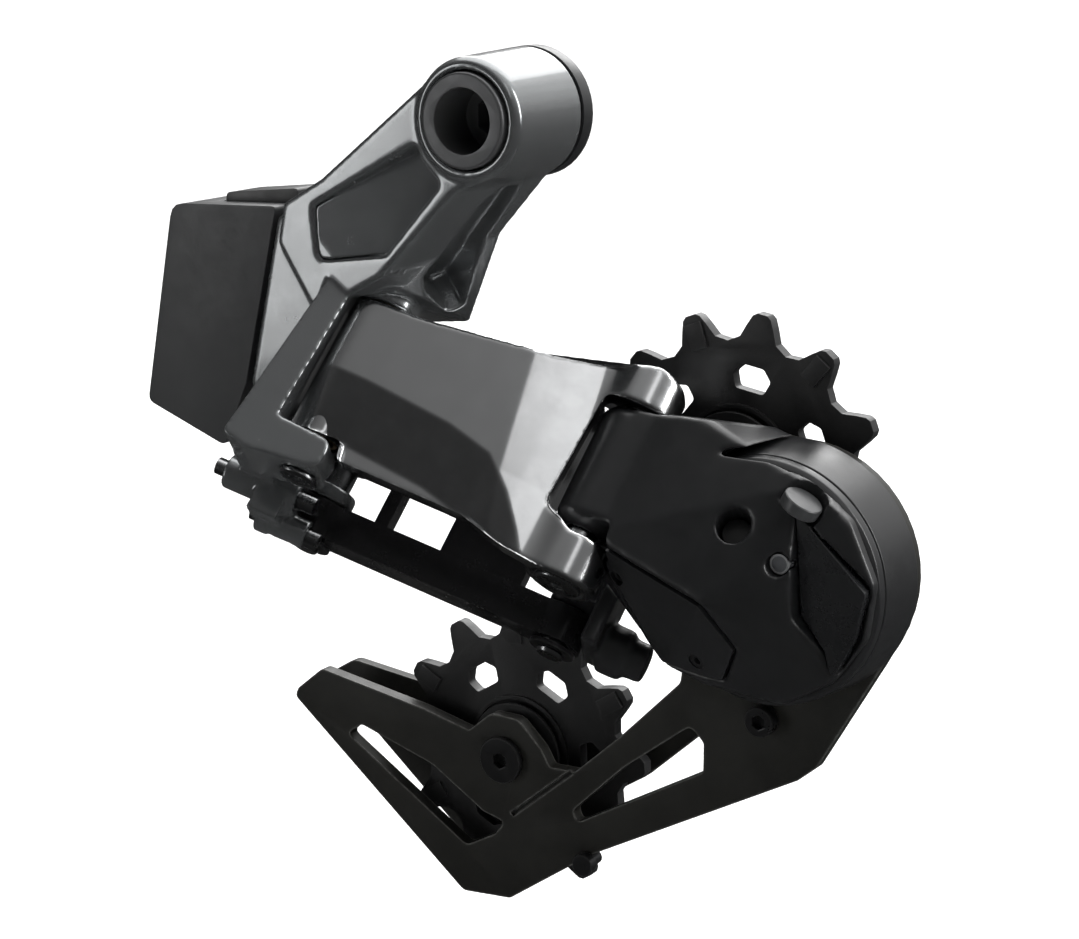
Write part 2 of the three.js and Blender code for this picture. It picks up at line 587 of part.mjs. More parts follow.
function housingBlank() {
  const barrel = join(
    rod(LINK_LENGTH, 0, -9.0, 9.6, 5.4, 32),
    rod(LINK_LENGTH, 0, 9.5, 11.0, 5.4, 32, 4.2),
    rod(LINK_LENGTH, 0, -10.6, -8.9, 3.6, 32, 5.4),
  );
  const neck = alongZ(outline([[44.4, -11.8], [60, -12.4], [60, 8.0], [49, 11.0], [41.4, 11.0]]), -20, 20).intersect(
    alongY(outline(BLOCK_PROFILE), -22, 14));
  const body = convex([
    ...BODY_IN_LINK_FRAME.map(corner => new THREE.Vector3(...corner).applyMatrix4(linkMatrix)),
    ...BODY_CORNERS.map(corner => new THREE.Vector3(...corner)),
    ...TOP_FRONT.map(([x, z]) => new THREE.Vector3(x, -7.0, z)),
    ...TOP_BACK.map(([x, z]) => new THREE.Vector3(x, -1.0, z)),
  ]);
  const nose = join(
    box(51.2, 54.2, -24, LUG[1], -24, -10),
    alongX(54, 58.5, NOSE, 4.4, 24),
    alongX(58.4, 62, NOSE, 3.4, 24),
  );
  return join(toWorld(join(barrel, neck, nose)), body);
}

// The gearbox cover is the outer skin of the lower facet; grown leaves the gap around it.
function coverSkin(grown) {
  const plan = outline([[-1.5 - grown, -6 - grown], [-2.5 - grown, -1.4 + grown], [17.6 + grown, -1.4 + grown],
    [24 + grown, -8], [22.5 + grown, -16.5 - grown], [9, -20.5 - grown]]);
  return moved(alongZ(plan, -2.0 - grown, 8), coverMatrix);
}

function makeHousing() {
  const roomInLinkFrame = join(
    rod(LINK_LENGTH, 0, -24, 20, PIN_HOLE + 0.1, 24),
    rod(LINK_LENGTH, 0, -5.2, 10.7, BUSH_RADIUS + 0.12, 24),
    rod(LINK_LENGTH, 0, GEAR_SPAN[0] - GAP, GEAR_SPAN[1] + GAP, 5.1, 24),
    rod(DRIVE_X, DRIVE_Z, GEAR_SPAN[0] - GAP, GEAR_SPAN[1] + GAP, 5.6, 24),
    rod(DRIVE_X, DRIVE_Z, GEAR_SPAN[1] - 0.5, 4.4, 4.5, 24),
    innerArmSweep(),
    outerEarSweep(),
  );
  const screws = HOUSING_SCREWS.map(([x, y]) => moved(upright(x, y, -4, 6, 1.5, 12), coverMatrix));
  const boardRoom = alongY(outline(shrink(BOARD, -0.4)), -12.2, -10);
  const lug = toWorld(cut(
    join(
      rod(LINK_LENGTH, -LINK_SPACING, LUG[0], LUG[1], 4.0, 24),
      box(LINK_LENGTH - 1.5, 52, LUG[0], LUG[1], -LINK_SPACING - 3, -12),
    ),
    rod(LINK_LENGTH, -LINK_SPACING, -30, 5, PIN_RADIUS + 0.06, 24),
  ));
  return cut(
    join(cut(housingBlank(), drumRoom(), toWorld(roomInLinkFrame)), cut(lug, drumRoom())),
    box(-40, 120, BACK_LIMIT, 60, -160, 40),
    coverSkin(GAP),
    boardRoom,
    alongY(outline(END_PLATE), -18, -12.2),
    toWorld(moved(upright(0, 0, -2.5, 8, 2.75, 24), faceMatrix)),
    rod(LENS_X, LENS_Z, -30, -13.9, 1.85, 20),
    cageLockRoom(),
    ...screws,
  );
}

// Sector that a plate on the outer pin passes through, from its rest to its inboard end.
function sweepWedge(y0, y1) {
  return alongY(outline([[30, -3], [LINK_LENGTH, -3], [LINK_LENGTH + 6.4, 3], [LINK_LENGTH + 1.2, 14],
    [LINK_LENGTH - 4, 22], [30, 12]]), y0, y1);
}

// Space that the two ears of the outer link turn in.
function outerEarSweep() {
  return join(
    rod(LINK_LENGTH, 0, -20.6, -12.0, 6.55, 28),
    sweepWedge(-20.6, -12.0),
    rod(LINK_LENGTH, 0, 11.1, 18.4, 6.55, 28),
    sweepWedge(11.1, 18.4),
    box(36, 40.9, -14, 12, -4, 12),
    cut(rod(LINK_LENGTH, 0, -12.5, -9.05, 7.7, 32), rod(LINK_LENGTH, 0, -10.6, -8.9, 3.6, 32, 5.4)),
  );
}

// Space that the two arms of the inner link pass through as the parallelogram swings.
function innerArmSweep() {
  const fan = outline([[LINK_LENGTH + 5, -LINK_SPACING - 5], [LINK_LENGTH + 5, -LINK_SPACING + 5],
    [LINK_LENGTH - 6, -3], [20, 8], [-20, -10], [-10, -50]]);
  return join(
    alongY(fan, INNER_LOWER[0] - 2.8, INNER_LOWER[1] + 0.3),
    alongY(fan, INNER_UPPER[0] - 0.3, INNER_UPPER[1] + 0.3),
  );
}

function makeGearboxCover() {
  const screws = HOUSING_SCREWS.map(([x, y]) => moved(upright(x, y, -4, 6, 1.5, 12), coverMatrix));
  return cut(housingBlank().intersect(coverSkin(0)), toWorld(outerEarSweep()), ...screws);
}

function makeEndPlate() {
  const margin = shrink(END_PLATE, 0.35);
  return alongY(outline(margin), -14.5, -12.3);
}

// Moves every corner of an outline towards its middle by about the given distance.
function shrink(points, distance) {
  const middle = points.reduce(([x, z], point) => [x + point[0] / points.length, z + point[1] / points.length], [0, 0]);
  return points.map(([x, z, radius]) => {
    const length = Math.hypot(x - middle[0], z - middle[1]);
    const share = 1 - 1.4 * distance / length;
    return [middle[0] + (x - middle[0]) * share, middle[1] + (z - middle[1]) * share, radius];
  });
}

function makeStatusLens() {
  return rod(LENS_X, LENS_Z, -16.3, -14.2, 1.6, 20);
}

function makeCageLock() {
  return moved(rod(0, 0, -2.6, -0.5, 3.2, 24), cageLockMatrix);
}

function cageLockRoom() {
  return moved(rod(0, 0, -3.2, 8, 3.5, 24), cageLockMatrix);
}

function makeCircuitBoard() {
  return alongY(outline(BOARD), -11.9, -11.1);
}

function makeHousingScrew(x, y) {
  return moved(cut(upright(x, y, -3.6, -0.5, 1.42, 12), upright(x, y, -1.4, 0, 0.8, 6)), coverMatrix);
}

// ---------------------------------------------------------------- damper drum and its contents

function makeDrum() {
  const shell = turned(CAGE_X, CAGE_Z, [
    [AXLE_RADIUS + 0.25, DRUM_FRONT], [DRUM_FRONT_RADIUS - 0.8, DRUM_FRONT], [DRUM_FRONT_RADIUS, DRUM_FRONT + 0.8],
    [DRUM_BACK_RADIUS, DRUM_BACK - 0.6], [DRUM_BACK_RADIUS - 0.6, DRUM_BACK], [18.5, DRUM_BACK], [18.5, -8.0],
    [AXLE_RADIUS + 0.25, -8.0],
  ], 48);
  return shell;
}

function makeAxle() {
  return turned(CAGE_X, CAGE_Z, [
    [0, -7.6], [AXLE_RADIUS, -7.6], [AXLE_RADIUS, 6.0], [5.6, 6.0], [5.6, 7.2], [0, 7.2],
  ], 32);
}

// ---------------------------------------------------------------- cage

const OUTER_PLATE_OUTLINE = [
  [26.0, -66.0, 3], [26.6, -53.0, 5], [35.5, -49.6, 5], [47.5, -50.2, 8], [60.6, -54.5, 9], [67.2, -68, 9],
  [66.4, -78, 6], [62.5, -85.4, 3], [51.7, -104.5, 2], [48.4, -107.3, 1], [9.2, -129.0], [-7.9, -141.2, 1.5],
  [-18.0, -142.0, 2], [-55.6, -111.6, 1.2], [-54.8, -109.9, 0.8], [-49.2, -105.2, 1.5], [-26.2, -108.8],
  [-16.6, -111.0, 1], [-12.0, -107.0, 2.5], [-6.2, -107.0, 3], [-1.4, -111.6, 2], [0.4, -114.6, 1],
  [5.6, -114.4, 0.5], [14.3, -106.5], [26.2, -94.4, 2], [27.4, -84, 3],
];
const RIGHT_WINDOW = [[28.3, -101.6, 1.6], [30.8, -104.2, 1.2], [30.8, -109.4, 1], [6.0, -123.8, 1.5], [5.2, -121.6, 1],
  [15.4, -111.6]];
const LEFT_SLOT = [[-43.8, -116.6, 1], [-40.2, -114.4, 1], [-24.6, -119.0, 4], [-13.5, -125.8, 1], [-8.9, -126.8, 1],
  [-11, -129.5, 1], [-17.2, -133.0, 1.5]];
const INNER_PLATE_OUTLINE = [
  [-56.4, -110.6, 1.5], [-50.0, -106.6, 3], [-30, -108.8], [-18.4, -110.0, 1], [-14.6, -106.6, 2], [-8.6, -105.4, 3],
  [-2.6, -107.4, 3], [3, -113.0, 1], [7.9, -111.2], [20.2, -98.7, 2], [23.6, -84, 4], [24.6, -58, 4],
  [27.6, -49.6, 4], [37.6, -48.8, 4], [42.2, -56.4, 4], [40, -78, 6], [35.6, -97, 4], [13.6, -117.2, 3],
  [-8.4, -131.8, 2], [-24, -137.6, 2], [-47, -118.4, 2],
];

function makeOuterPlate() {
  const plate = alongY(outline(OUTER_PLATE_OUTLINE), ...OUTER_PLATE);
  const rim = ring(CAGE_X, CAGE_Z, OUTER_PLATE[0], OUTER_PLATE[1], 10, 20.2, 48);
  const groove = alongY(outline([[5.2, -114.9], [-7.2, -125.4], [-7.8, -124.8], [4.4, -114.4]]), 2, OUTER_PLATE[0] + 0.8);
  return cut(
    join(plate, rim),
    alongY(outline(RIGHT_WINDOW), 0, 8),
    alongY(outline(LEFT_SLOT), 0, 8),
    groove,
    rod(CAGE_X, CAGE_Z, 0, 5.7, AXLE_RADIUS + 0.06, 32),
    rod(UPPER_X, UPPER_Z, 0, 8, 2.55, 24),
    rod(LOWER_X, LOWER_Z, 0, 8, 2.55, 24),
    rod(STOP_X, STOP_Z, 0, 8, 1.6, 20),
    rod(PEG_X, PEG_Z, 0, 8, 1.3, 20),
  );
}

function makeInnerPlate() {
  return cut(
    alongY(outline(INNER_PLATE_OUTLINE), ...INNER_PLATE),
    rod(UPPER_X, UPPER_Z, 10, 20, 2.55, 24),
    rod(LOWER_X, LOWER_Z, 10, 20, 2.55, 24),
  );
}

function makePeg() {
  return join(rod(PEG_X, PEG_Z, 1.2, 3.1, 2.0, 20), rod(PEG_X, PEG_Z, 3.0, 6.4, 1.2, 20));
}

function makeStopBolt() {
  const head = rod(STOP_X, STOP_Z, 0.6, 3.1, 2.6, 24);
  const bolt = join(head, rod(STOP_X, STOP_Z, 3.0, 6.6, 1.5, 20));
  return cut(bolt, rod(STOP_X, STOP_Z, 0, 2.0, 1.3, 6));
}

// ---------------------------------------------------------------- pulleys

function makePulley(x, z, phase) {
  const step = 2 * Math.PI / TEETH;
  const pitchRadius = CHAIN_PITCH / 2 / Math.sin(Math.PI / TEETH);
  const shape = new THREE.Shape();
  const polar = (radius, angle) => [radius * Math.cos(angle), radius * Math.sin(angle)];
  for (let i = 0; i < TEETH; i++) {
    const tooth = phase + i * step;
    const valley = tooth + step / 2;
    const tip = [polar(TIP_RADIUS - 0.5, tooth - 0.066), polar(TIP_RADIUS, tooth - 0.036),
      polar(TIP_RADIUS, tooth + 0.036), polar(TIP_RADIUS - 0.5, tooth + 0.066)];
    tip.forEach((point, k) => {
      if (i === 0 && k === 0) shape.moveTo(...point);
      else shape.lineTo(...point);
    });
    const [cx, cz] = polar(pitchRadius, valley);
    for (let k = -2; k <= 2; k++) {
      const angle = valley + Math.PI - k * 0.62;
      shape.lineTo(cx + ROLLER_RADIUS * Math.cos(angle), cz + ROLLER_RADIUS * Math.sin(angle));
    }
  }
  shape.closePath();
  const front = PULLEY_Y - TOOTH_THICKNESS / 2;
  const back = PULLEY_Y + TOOTH_THICKNESS / 2;
  const hub = rod(0, 0, PULLEY_Y - 1.7, PULLEY_Y + 1.7, 10.2, 36);
  const pads = [];
  const holes = [];
  for (let i = 0; i < TEETH / 2; i++) {
    const wide = phase + (2 * i + 1) * step;
    const pad = box(19.8, 24.2, front - 0.5, back + 0.5, -1.5, 1.5);
    pads.push(moved(pad, new THREE.Matrix4().makeRotationY(-wide)));
    const hole = alongY(outline([[12.6, -2.6, 0.8], [15.0, -3.5, 0.8], [16.8, -1.9, 0.8], [16.8, 1.9, 0.8],
      [15.0, 3.5, 0.8], [12.6, 2.6, 0.8]]), 0, 20, 3);
    holes.push(moved(hole, new THREE.Matrix4().makeRotationY(-(wide + step))));
  }
  const wheel = cut(join(alongY(shape, front, back), hub, ...pads), ...holes, rod(0, 0, 0, 20, 6.55, 28));
  const coverRooms = join(rod(0, 0, 0, PULLEY_Y - 1.2, 9.5, 32), rod(0, 0, PULLEY_Y + 1.2, 20, 9.5, 32));
  return moved(cut(wheel, coverRooms), new THREE.Matrix4().makeTranslation(x, 0, z));
}

function makeDustCover(x, z, y, side) {
  return side < 0 ? ring(x, z, y - 0.7, y, 4.15, 9.1, 36) : ring(x, z, y, y + 0.7, 4.15, 9.1, 36);
}

// The lower bolt goes in from outboard; the upper one from inboard, because the drum covers its end.
function makePulleyBolt(x, z, fromInboard) {
  const [near, far, step] = fromInboard ? [INNER_PLATE[1] + 0.2, OUTER_PLATE[0] + 0.2, 1] : [OUTER_PLATE[0] - 0.2,
    INNER_PLATE[1] + 0.9, -1];
  const head = rod(x, z, Math.min(near, near + 1.2 * step), Math.max(near, near + 1.2 * step), 4.2, 24);
  const shank = rod(x, z, Math.min(near + 0.2 * step, far), Math.max(near + 0.2 * step, far), 2.45, 24);
  const socket = rod(x, z, Math.min(near - 0.4 * step, near + 2 * step), Math.max(near - 0.4 * step, near + 2 * step),
    1.5, 6);
  return cut(join(head, shank), socket);
}

// ---------------------------------------------------------------- the assembly

place('hanger_bolt', makeHangerBolt(), blackSteel);
place('b_stop_washer', makeStopWasher(), satinBlack);
place('hanger_bush', ring(0, 0, -8.6, -3.3, BOLT_SHANK_RADIUS + GAP, 6.4), brass);
place('b_knuckle', makeKnuckle(), greyPaint);
place('battery_pack', makeBattery(), batteryGrey);
place('battery_latch', makeBatteryLatch(), satinBlack);
place('battery_contacts', makeBatteryContacts(), brass);
place('b_adjust_screw', makeAdjusterScrew(), blackSteel);

// ---------------------------------------------------------------- pins, bushes, clips and link screws

place('outer_pin_b', makePin(0, 0, -21.2, 16.6, PIN_RADIUS + 0.9), steel, links);
place('outer_bush_b', ring(0, 0, -13.4, 10.6, PIN_HOLE, BUSH_RADIUS), brass, links);
place('inner_pin_b', makeClippedPin(0, -LINK_SPACING, INNER_BOTTOM - 2.2, -4.4), steel, links);
place('inner_clip_b', makeClip(0, -LINK_SPACING, INNER_BOTTOM - 0.85), blackSteel, links);
place('outer_pin_p', makePin(LINK_LENGTH, 0, -20.3, 18.2, 4.0), steel, links);
place('outer_bush_p', ring(LINK_LENGTH, 0, -4.8, 10.4, PIN_HOLE, BUSH_RADIUS), brass, links);
place('inner_pin_p', makeClippedPin(LINK_LENGTH, -LINK_SPACING, INNER_BOTTOM - 2.2, -4.4), steel, links);
place('inner_clip_p', makeClip(LINK_LENGTH, -LINK_SPACING, INNER_BOTTOM - 0.85), blackSteel, links);
place('limit_screw_high', makeLimitScrew(-17.6, 1.0, HIGH_SCREW, 1.5), steel, links);
place('limit_screw_low', makeLimitScrew(-9.5, 3.4, LOW_SCREW, 1.2), steel, links);

// ---------------------------------------------------------------- links

place('outer_link', makeOuterLink(), silverPaint, links);
place('inner_link', makeInnerLink(), blackAnodised, links);
place('sector_gear', gear(LINK_LENGTH, 0, ...GEAR_SPAN, SECTOR_TEETH, GEAR_ANGLE, PIN_RADIUS + 0.1), steel, links);
place('drive_gear', makeDriveGear(), brass, links);
place('motor_can', makeMotor(), steel, links);

// ---------------------------------------------------------------- motor housing and damper

place('motor_housing', makeHousing(), satinBlack);
place('gearbox_cover', makeGearboxCover(), satinBlack);
place('end_plate', makeEndPlate(), satinBlack);
place('function_button', moved(upright(0, 0, -1.6, 0.4, 2.4, 24), faceMatrix), satinBlack, links);
place('status_lens', makeStatusLens(), smokedLens);
place('cage_lock_button', makeCageLock(), blackAnodised);
place('circuit_board', makeCircuitBoard(), boardGreen);
HOUSING_SCREWS.forEach((point, i) => {
  place(`housing_screw_${i + 1}`, makeHousingScrew(...point), blackSteel);
});
place('damper_drum', makeDrum(), satinBlack);
place('cage_spring', ring(CAGE_X, CAGE_Z, -6.2, 1.6, 12.2, 14.6, 40), steel);
place('clutch_sleeve', ring(CAGE_X, CAGE_Z, -3.6, 1.9, 6.2, 9.4, 32), blackSteel);
place('cage_bearing', ring(CAGE_X, CAGE_Z, -7.4, -4.4, AXLE_RADIUS + 0.1, 6.7, 32), steel);

// ---------------------------------------------------------------- cage

place('cage_axle', makeAxle(), steel);
place('cage_outer_plate', makeOuterPlate(), blackAnodised);
place('cage_inner_plate', makeInnerPlate(), blackAnodised);
place('cage_peg', makePeg(), blackSteel);
place('cage_stop_bolt', makeStopBolt(), blackSteel);

const pulleys = [
  { name: 'upper', x: UPPER_X, z: UPPER_Z, phase: THREE.MathUtils.degToRad(80.8) },
  { name: 'lower', x: LOWER_X, z: LOWER_Z, phase: THREE.MathUtils.degToRad(123.1) },
];
for (const { name, x, z, phase } of pulleys) {
  place(`${name}_pulley`, makePulley(x, z, phase), pulleyBlack);
  place(`${name}_bearing`, ring(x, z, PULLEY_Y - 1.9, PULLEY_Y + 1.9, 4.0, 6.4, 28), steel);
  place(`${name}_sleeve`, ring(x, z, OUTER_PLATE[1] + 0.2, INNER_PLATE[0] - 0.2, 2.55, 3.9, 24), steel);
  place(`${name}_cover_outboard`, makeDustCover(x, z, PULLEY_Y - 2.2, -1), pulleyBlack);
  place(`${name}_cover_inboard`, makeDustCover(x, z, PULLEY_Y + 2.2, 1), pulleyBlack);
  place(`${name}_pulley_bolt`, makePulleyBolt(x, z, name === 'upper'), blackSteel);
}

export default derailleur;
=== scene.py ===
import json
import math

import bmesh
import bpy
import numpy as np
from mathutils import Matrix, Vector

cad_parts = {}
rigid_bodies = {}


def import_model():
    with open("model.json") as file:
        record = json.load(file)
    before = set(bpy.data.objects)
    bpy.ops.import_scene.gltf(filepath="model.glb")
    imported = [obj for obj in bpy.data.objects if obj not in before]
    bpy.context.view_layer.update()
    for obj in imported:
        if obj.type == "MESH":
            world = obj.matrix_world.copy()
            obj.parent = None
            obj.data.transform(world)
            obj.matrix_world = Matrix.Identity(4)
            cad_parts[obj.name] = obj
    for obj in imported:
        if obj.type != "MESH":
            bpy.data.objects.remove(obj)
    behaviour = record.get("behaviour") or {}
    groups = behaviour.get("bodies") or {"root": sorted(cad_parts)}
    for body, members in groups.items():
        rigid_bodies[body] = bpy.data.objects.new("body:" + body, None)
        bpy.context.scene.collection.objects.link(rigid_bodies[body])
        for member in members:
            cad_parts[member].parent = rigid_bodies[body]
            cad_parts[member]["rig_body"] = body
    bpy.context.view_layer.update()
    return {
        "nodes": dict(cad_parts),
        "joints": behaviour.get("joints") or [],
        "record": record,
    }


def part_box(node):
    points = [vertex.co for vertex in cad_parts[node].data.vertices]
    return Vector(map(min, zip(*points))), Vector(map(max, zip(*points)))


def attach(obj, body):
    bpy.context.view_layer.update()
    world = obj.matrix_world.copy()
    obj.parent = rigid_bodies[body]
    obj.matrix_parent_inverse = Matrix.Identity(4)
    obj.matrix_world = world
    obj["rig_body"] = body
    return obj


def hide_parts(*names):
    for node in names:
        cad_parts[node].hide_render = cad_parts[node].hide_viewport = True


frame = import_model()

MM = 0.001
WELD = 2e-6              # vertices nearer than this are one, in metres
SMOOTH_ANGLE = 32        # faces that meet at less than this look smooth, in degrees
BEVEL_ANGLE = 34         # edges sharper than this are rounded, in degrees
NODES = frame["nodes"]
RECORD = frame["record"]
JOINTS = {j["name"]: j for j in frame["joints"]}
SLOTS = {s["node"]: s["material_slot"] for s in RECORD["subparts"]}

# ------------------------------------------------------------------ frames, from the record's joints


def unit(v):
    return Vector(v).normalized()


CAGE = Vector(JOINTS["cage_swing"]["pos_m"])
PIN = unit(JOINTS["link_swing"]["axis"])
OUTER_B = Vector(JOINTS["link_swing"]["pos_m"])
OUTER_P = Vector(JOINTS["p_knuckle_pivot"]["pos_m"])
ALONG = unit(OUTER_P - OUTER_B)
OUT = ALONG.cross(PIN).normalized()

LINK_TO_WORLD = Matrix.Identity(4)
for column, values in enumerate((ALONG, PIN, OUT, OUTER_B)):
    for row in range(3):
        LINK_TO_WORLD[row][column] = values[row]
TO_LINK = np.array(LINK_TO_WORLD.inverted())


def along_y(origin):
    """Frame with z along the part's +Y, x along +X and its origin on the axis through the given point."""
    m = Matrix.Identity(4)
    m[0][0], m[1][0], m[2][0] = 1, 0, 0
    m[0][1], m[1][1], m[2][1] = 0, 0, -1
    m[0][2], m[1][2], m[2][2] = 0, 1, 0
    m[0][3], m[1][3], m[2][3] = origin[0], 0, origin[2]
    return m


# ------------------------------------------------------------------ materials

# Sockets of a Mix node that are for colours: its two inputs and its result.
MIX_A, MIX_B, MIX_RESULT = 6, 7, 2


def material(name, colour, roughness, metallic=0.0, coat=0.0, coat_roughness=0.1, specular=0.5,
             grain=0.0, grain_size=0.25, mottle=0.06, rough_spread=0.06, edge_wear_and_highlight=0.0, edge_wear_and_highlight_colour=(0.5, 0.5, 0.5),
             brushed=None, edge_wear_and_highlight_radius=0.0006, flake=0.0):
    """Procedural surface: mottled colour, uneven roughness, fine grain or brushing, and edges lightened partly as
    wear and partly as a painted highlight.
    """
    mat = bpy.data.materials.new(name)
    mat.use_nodes = True
    tree = mat.node_tree
    tree.nodes.clear()

    def node(kind, **values):
        n = tree.nodes.new(kind)
        for key, value in values.items():
            if key in n.inputs:
                n.inputs[key].default_value = value
            else:
                setattr(n, key, value)
        return n

    def link(a, out, b, into):
        tree.links.new(a.outputs[out], b.inputs[into])

    def map_range(source, out, **limits):
        """Rescales a value; limits are the node's inputs with _ for the space."""
        n = node("ShaderNodeMapRange")
        for key, value in limits.items():
            n.inputs[key.replace("_", " ")].default_value = value
        link(source, out, n, "Value")
        return n

    output = node("ShaderNodeOutputMaterial")
    shader = node("ShaderNodeBsdfPrincipled")
    shader.inputs["Metallic"].default_value = metallic
    shader.inputs["Coat Weight"].default_value = coat
    shader.inputs["Coat Roughness"].default_value = coat_roughness
    shader.inputs["Specular IOR Level"].default_value = specular
    link(shader, "BSDF", output, "Surface")
    where = node("ShaderNodeTexCoord")

    clouds = node("ShaderNodeTexNoise", Scale=90.0, Detail=4.0, Roughness=0.6)
    link(where, "Object", clouds, "Vector")
    tint = node("ShaderNodeValToRGB")
    dark = [c * (1 - mottle) for c in colour]
    light = [min(1, c * (1 + mottle)) for c in colour]
    tint.color_ramp.elements[0].position = 0.35
    tint.color_ramp.elements[1].position = 0.65
    tint.color_ramp.elements[0].color = (*dark, 1)
    tint.color_ramp.elements[1].color = (*light, 1)
    link(clouds, "Fac", tint, "Fac")
    colour_from, colour_out = tint, "Color"
    if flake > 0:
        # metallic flakes: small cells, a few of them brighter
        cells = node("ShaderNodeTexVoronoi", Scale=5200.0)
        link(where, "Object", cells, "Vector")
        sparkle = node("ShaderNodeSeparateColor")
        link(cells, "Color", sparkle, "Color")
        bright = map_range(sparkle, "Red", From_Min=0.55, To_Min=1.0 - 0.5 * flake, To_Max=1.0 + 1.6 * flake)
        shiny = node("ShaderNodeVectorMath", operation="SCALE")
        link(tint, "Color", shiny, 0)
        link(bright, "Result", shiny, "Scale")
        colour_from, colour_out = shiny, "Vector"

    smudges = node("ShaderNodeTexNoise", Scale=240.0, Detail=5.0, Roughness=0.7)
    link(where, "Object", smudges, "Vector")
    rough = map_range(smudges, "Fac", From_Min=0.3, From_Max=0.7,
                      To_Min=max(0.02, roughness - rough_spread), To_Max=roughness + rough_spread)
    link(rough, "Result", shader, "Roughness")

    # Painted highlight and wear: where the bevel normal turns away from the face normal, edges are lightened in
    # patches towards the edge colour.
    if edge_wear_and_highlight > 0:
        bevel = node("ShaderNodeBevel", samples=6)
        bevel.inputs["Radius"].default_value = edge_wear_and_highlight_radius
        geometry = node("ShaderNodeNewGeometry")
        edge = node("ShaderNodeVectorMath", operation="DOT_PRODUCT")
        link(bevel, "Normal", edge, 0)
        link(geometry, "Normal", edge, 1)
        soft = map_range(edge, "Value", From_Min=0.97, From_Max=0.80)
        edge_patches = node("ShaderNodeTexNoise", Scale=900.0, Detail=3.0)
        link(where, "Object", edge_patches, "Vector")
        patchy = map_range(edge_patches, "Fac", From_Min=0.35, From_Max=0.65, To_Min=0.35)
        amount = node("ShaderNodeMath", operation="MULTIPLY")
        link(soft, "Result", amount, 0)
        link(patchy, "Result", amount, 1)
        scaled = node("ShaderNodeMath", operation="MULTIPLY")
        scaled.inputs[1].default_value = edge_wear_and_highlight
        link(amount, "Value", scaled, 0)
        mix = node("ShaderNodeMix", data_type="RGBA")
        link(scaled, "Value", mix, "Factor")
        link(colour_from, colour_out, mix, MIX_A)
        mix.inputs[MIX_B].default_value = (*edge_wear_and_highlight_colour, 1)
        colour_from, colour_out = mix, MIX_RESULT

    link(colour_from, colour_out, shader, "Base Color")

    if grain > 0:
        fine = node("ShaderNodeTexNoise", Scale=1000.0 / grain_size, Detail=3.0, Roughness=0.65)
        if brushed:
            mapping = node("ShaderNodeMapping")
            mapping.inputs["Scale"].default_value = brushed
            link(where, "Object", mapping, "Vector")
            link(mapping, "Vector", fine, "Vector")
        else:
            link(where, "Object", fine, "Vector")
        bump = node("ShaderNodeBump", Strength=grain, Distance=0.0001)
        link(fine, "Fac", bump, "Height")
        link(bump, "Normal", shader, "Normal")
    return mat


# The looks, by material slot. Their edge settings lighten the edges: partly wear, partly painted highlight.
LOOKS = {
    "grey_paint": material("grey_paint", (0.165, 0.172, 0.175), 0.25, metallic=0.80, coat=0.8, coat_roughness=0.06,
                           grain=0.015, grain_size=0.09, mottle=0.03, rough_spread=0.025, flake=0.05),
    "polished_silver": material("polished_silver", (0.44, 0.445, 0.45), 0.19, metallic=1.0, coat=0.3,
                                coat_roughness=0.08, grain=0.02, grain_size=0.2, mottle=0.02, rough_spread=0.03),
    "black_anodised": material("black_anodised", (0.0150, 0.0147, 0.0125), 0.43, metallic=0.25, specular=0.45,
                               grain=0.22, grain_size=0.22, mottle=0.16, edge_wear_and_highlight=0.75, edge_wear_and_highlight_colour=(0.17, 0.17, 0.16),
                               edge_wear_and_highlight_radius=0.0008),
    "black_steel": material("black_steel", (0.022, 0.022, 0.023), 0.32, metallic=0.7, grain=0.08, grain_size=0.2,
                            edge_wear_and_highlight=0.5, edge_wear_and_highlight_colour=(0.16, 0.16, 0.16)),
    "steel": material("steel", (0.30, 0.305, 0.31), 0.26, metallic=1.0, grain=0.10, grain_size=0.3,
                      brushed=(1.0, 8.0, 1.0)),
    "bronze": material("bronze", (0.40, 0.29, 0.14), 0.34, metallic=1.0, grain=0.08, grain_size=0.3),
    "satin_black": material("satin_black", (0.0095, 0.0098, 0.0105), 0.34, specular=0.5, grain=0.10, grain_size=0.22,
                            mottle=0.10, edge_wear_and_highlight=0.15, edge_wear_and_highlight_colour=(0.035, 0.035, 0.037)),
    "pulley_black": material("pulley_black", (0.012, 0.012, 0.0125), 0.42, specular=0.45, grain=0.22, grain_size=0.35,
                             mottle=0.12, edge_wear_and_highlight=0.4, edge_wear_and_highlight_colour=(0.05, 0.05, 0.05)),
    "battery_grey": material("battery_grey", (0.024, 0.025, 0.026), 0.42, specular=0.45, grain=0.14, grain_size=0.2,
                             mottle=0.06, edge_wear_and_highlight=0.25, edge_wear_and_highlight_colour=(0.07, 0.072, 0.075)),
    "smoked_lens": material("smoked_lens", (0.05, 0.052, 0.055), 0.12, coat=0.6, grain=0.02),
    "board_green": material("board_green", (0.02, 0.11, 0.05), 0.45, grain=0.2, grain_size=0.6),
}

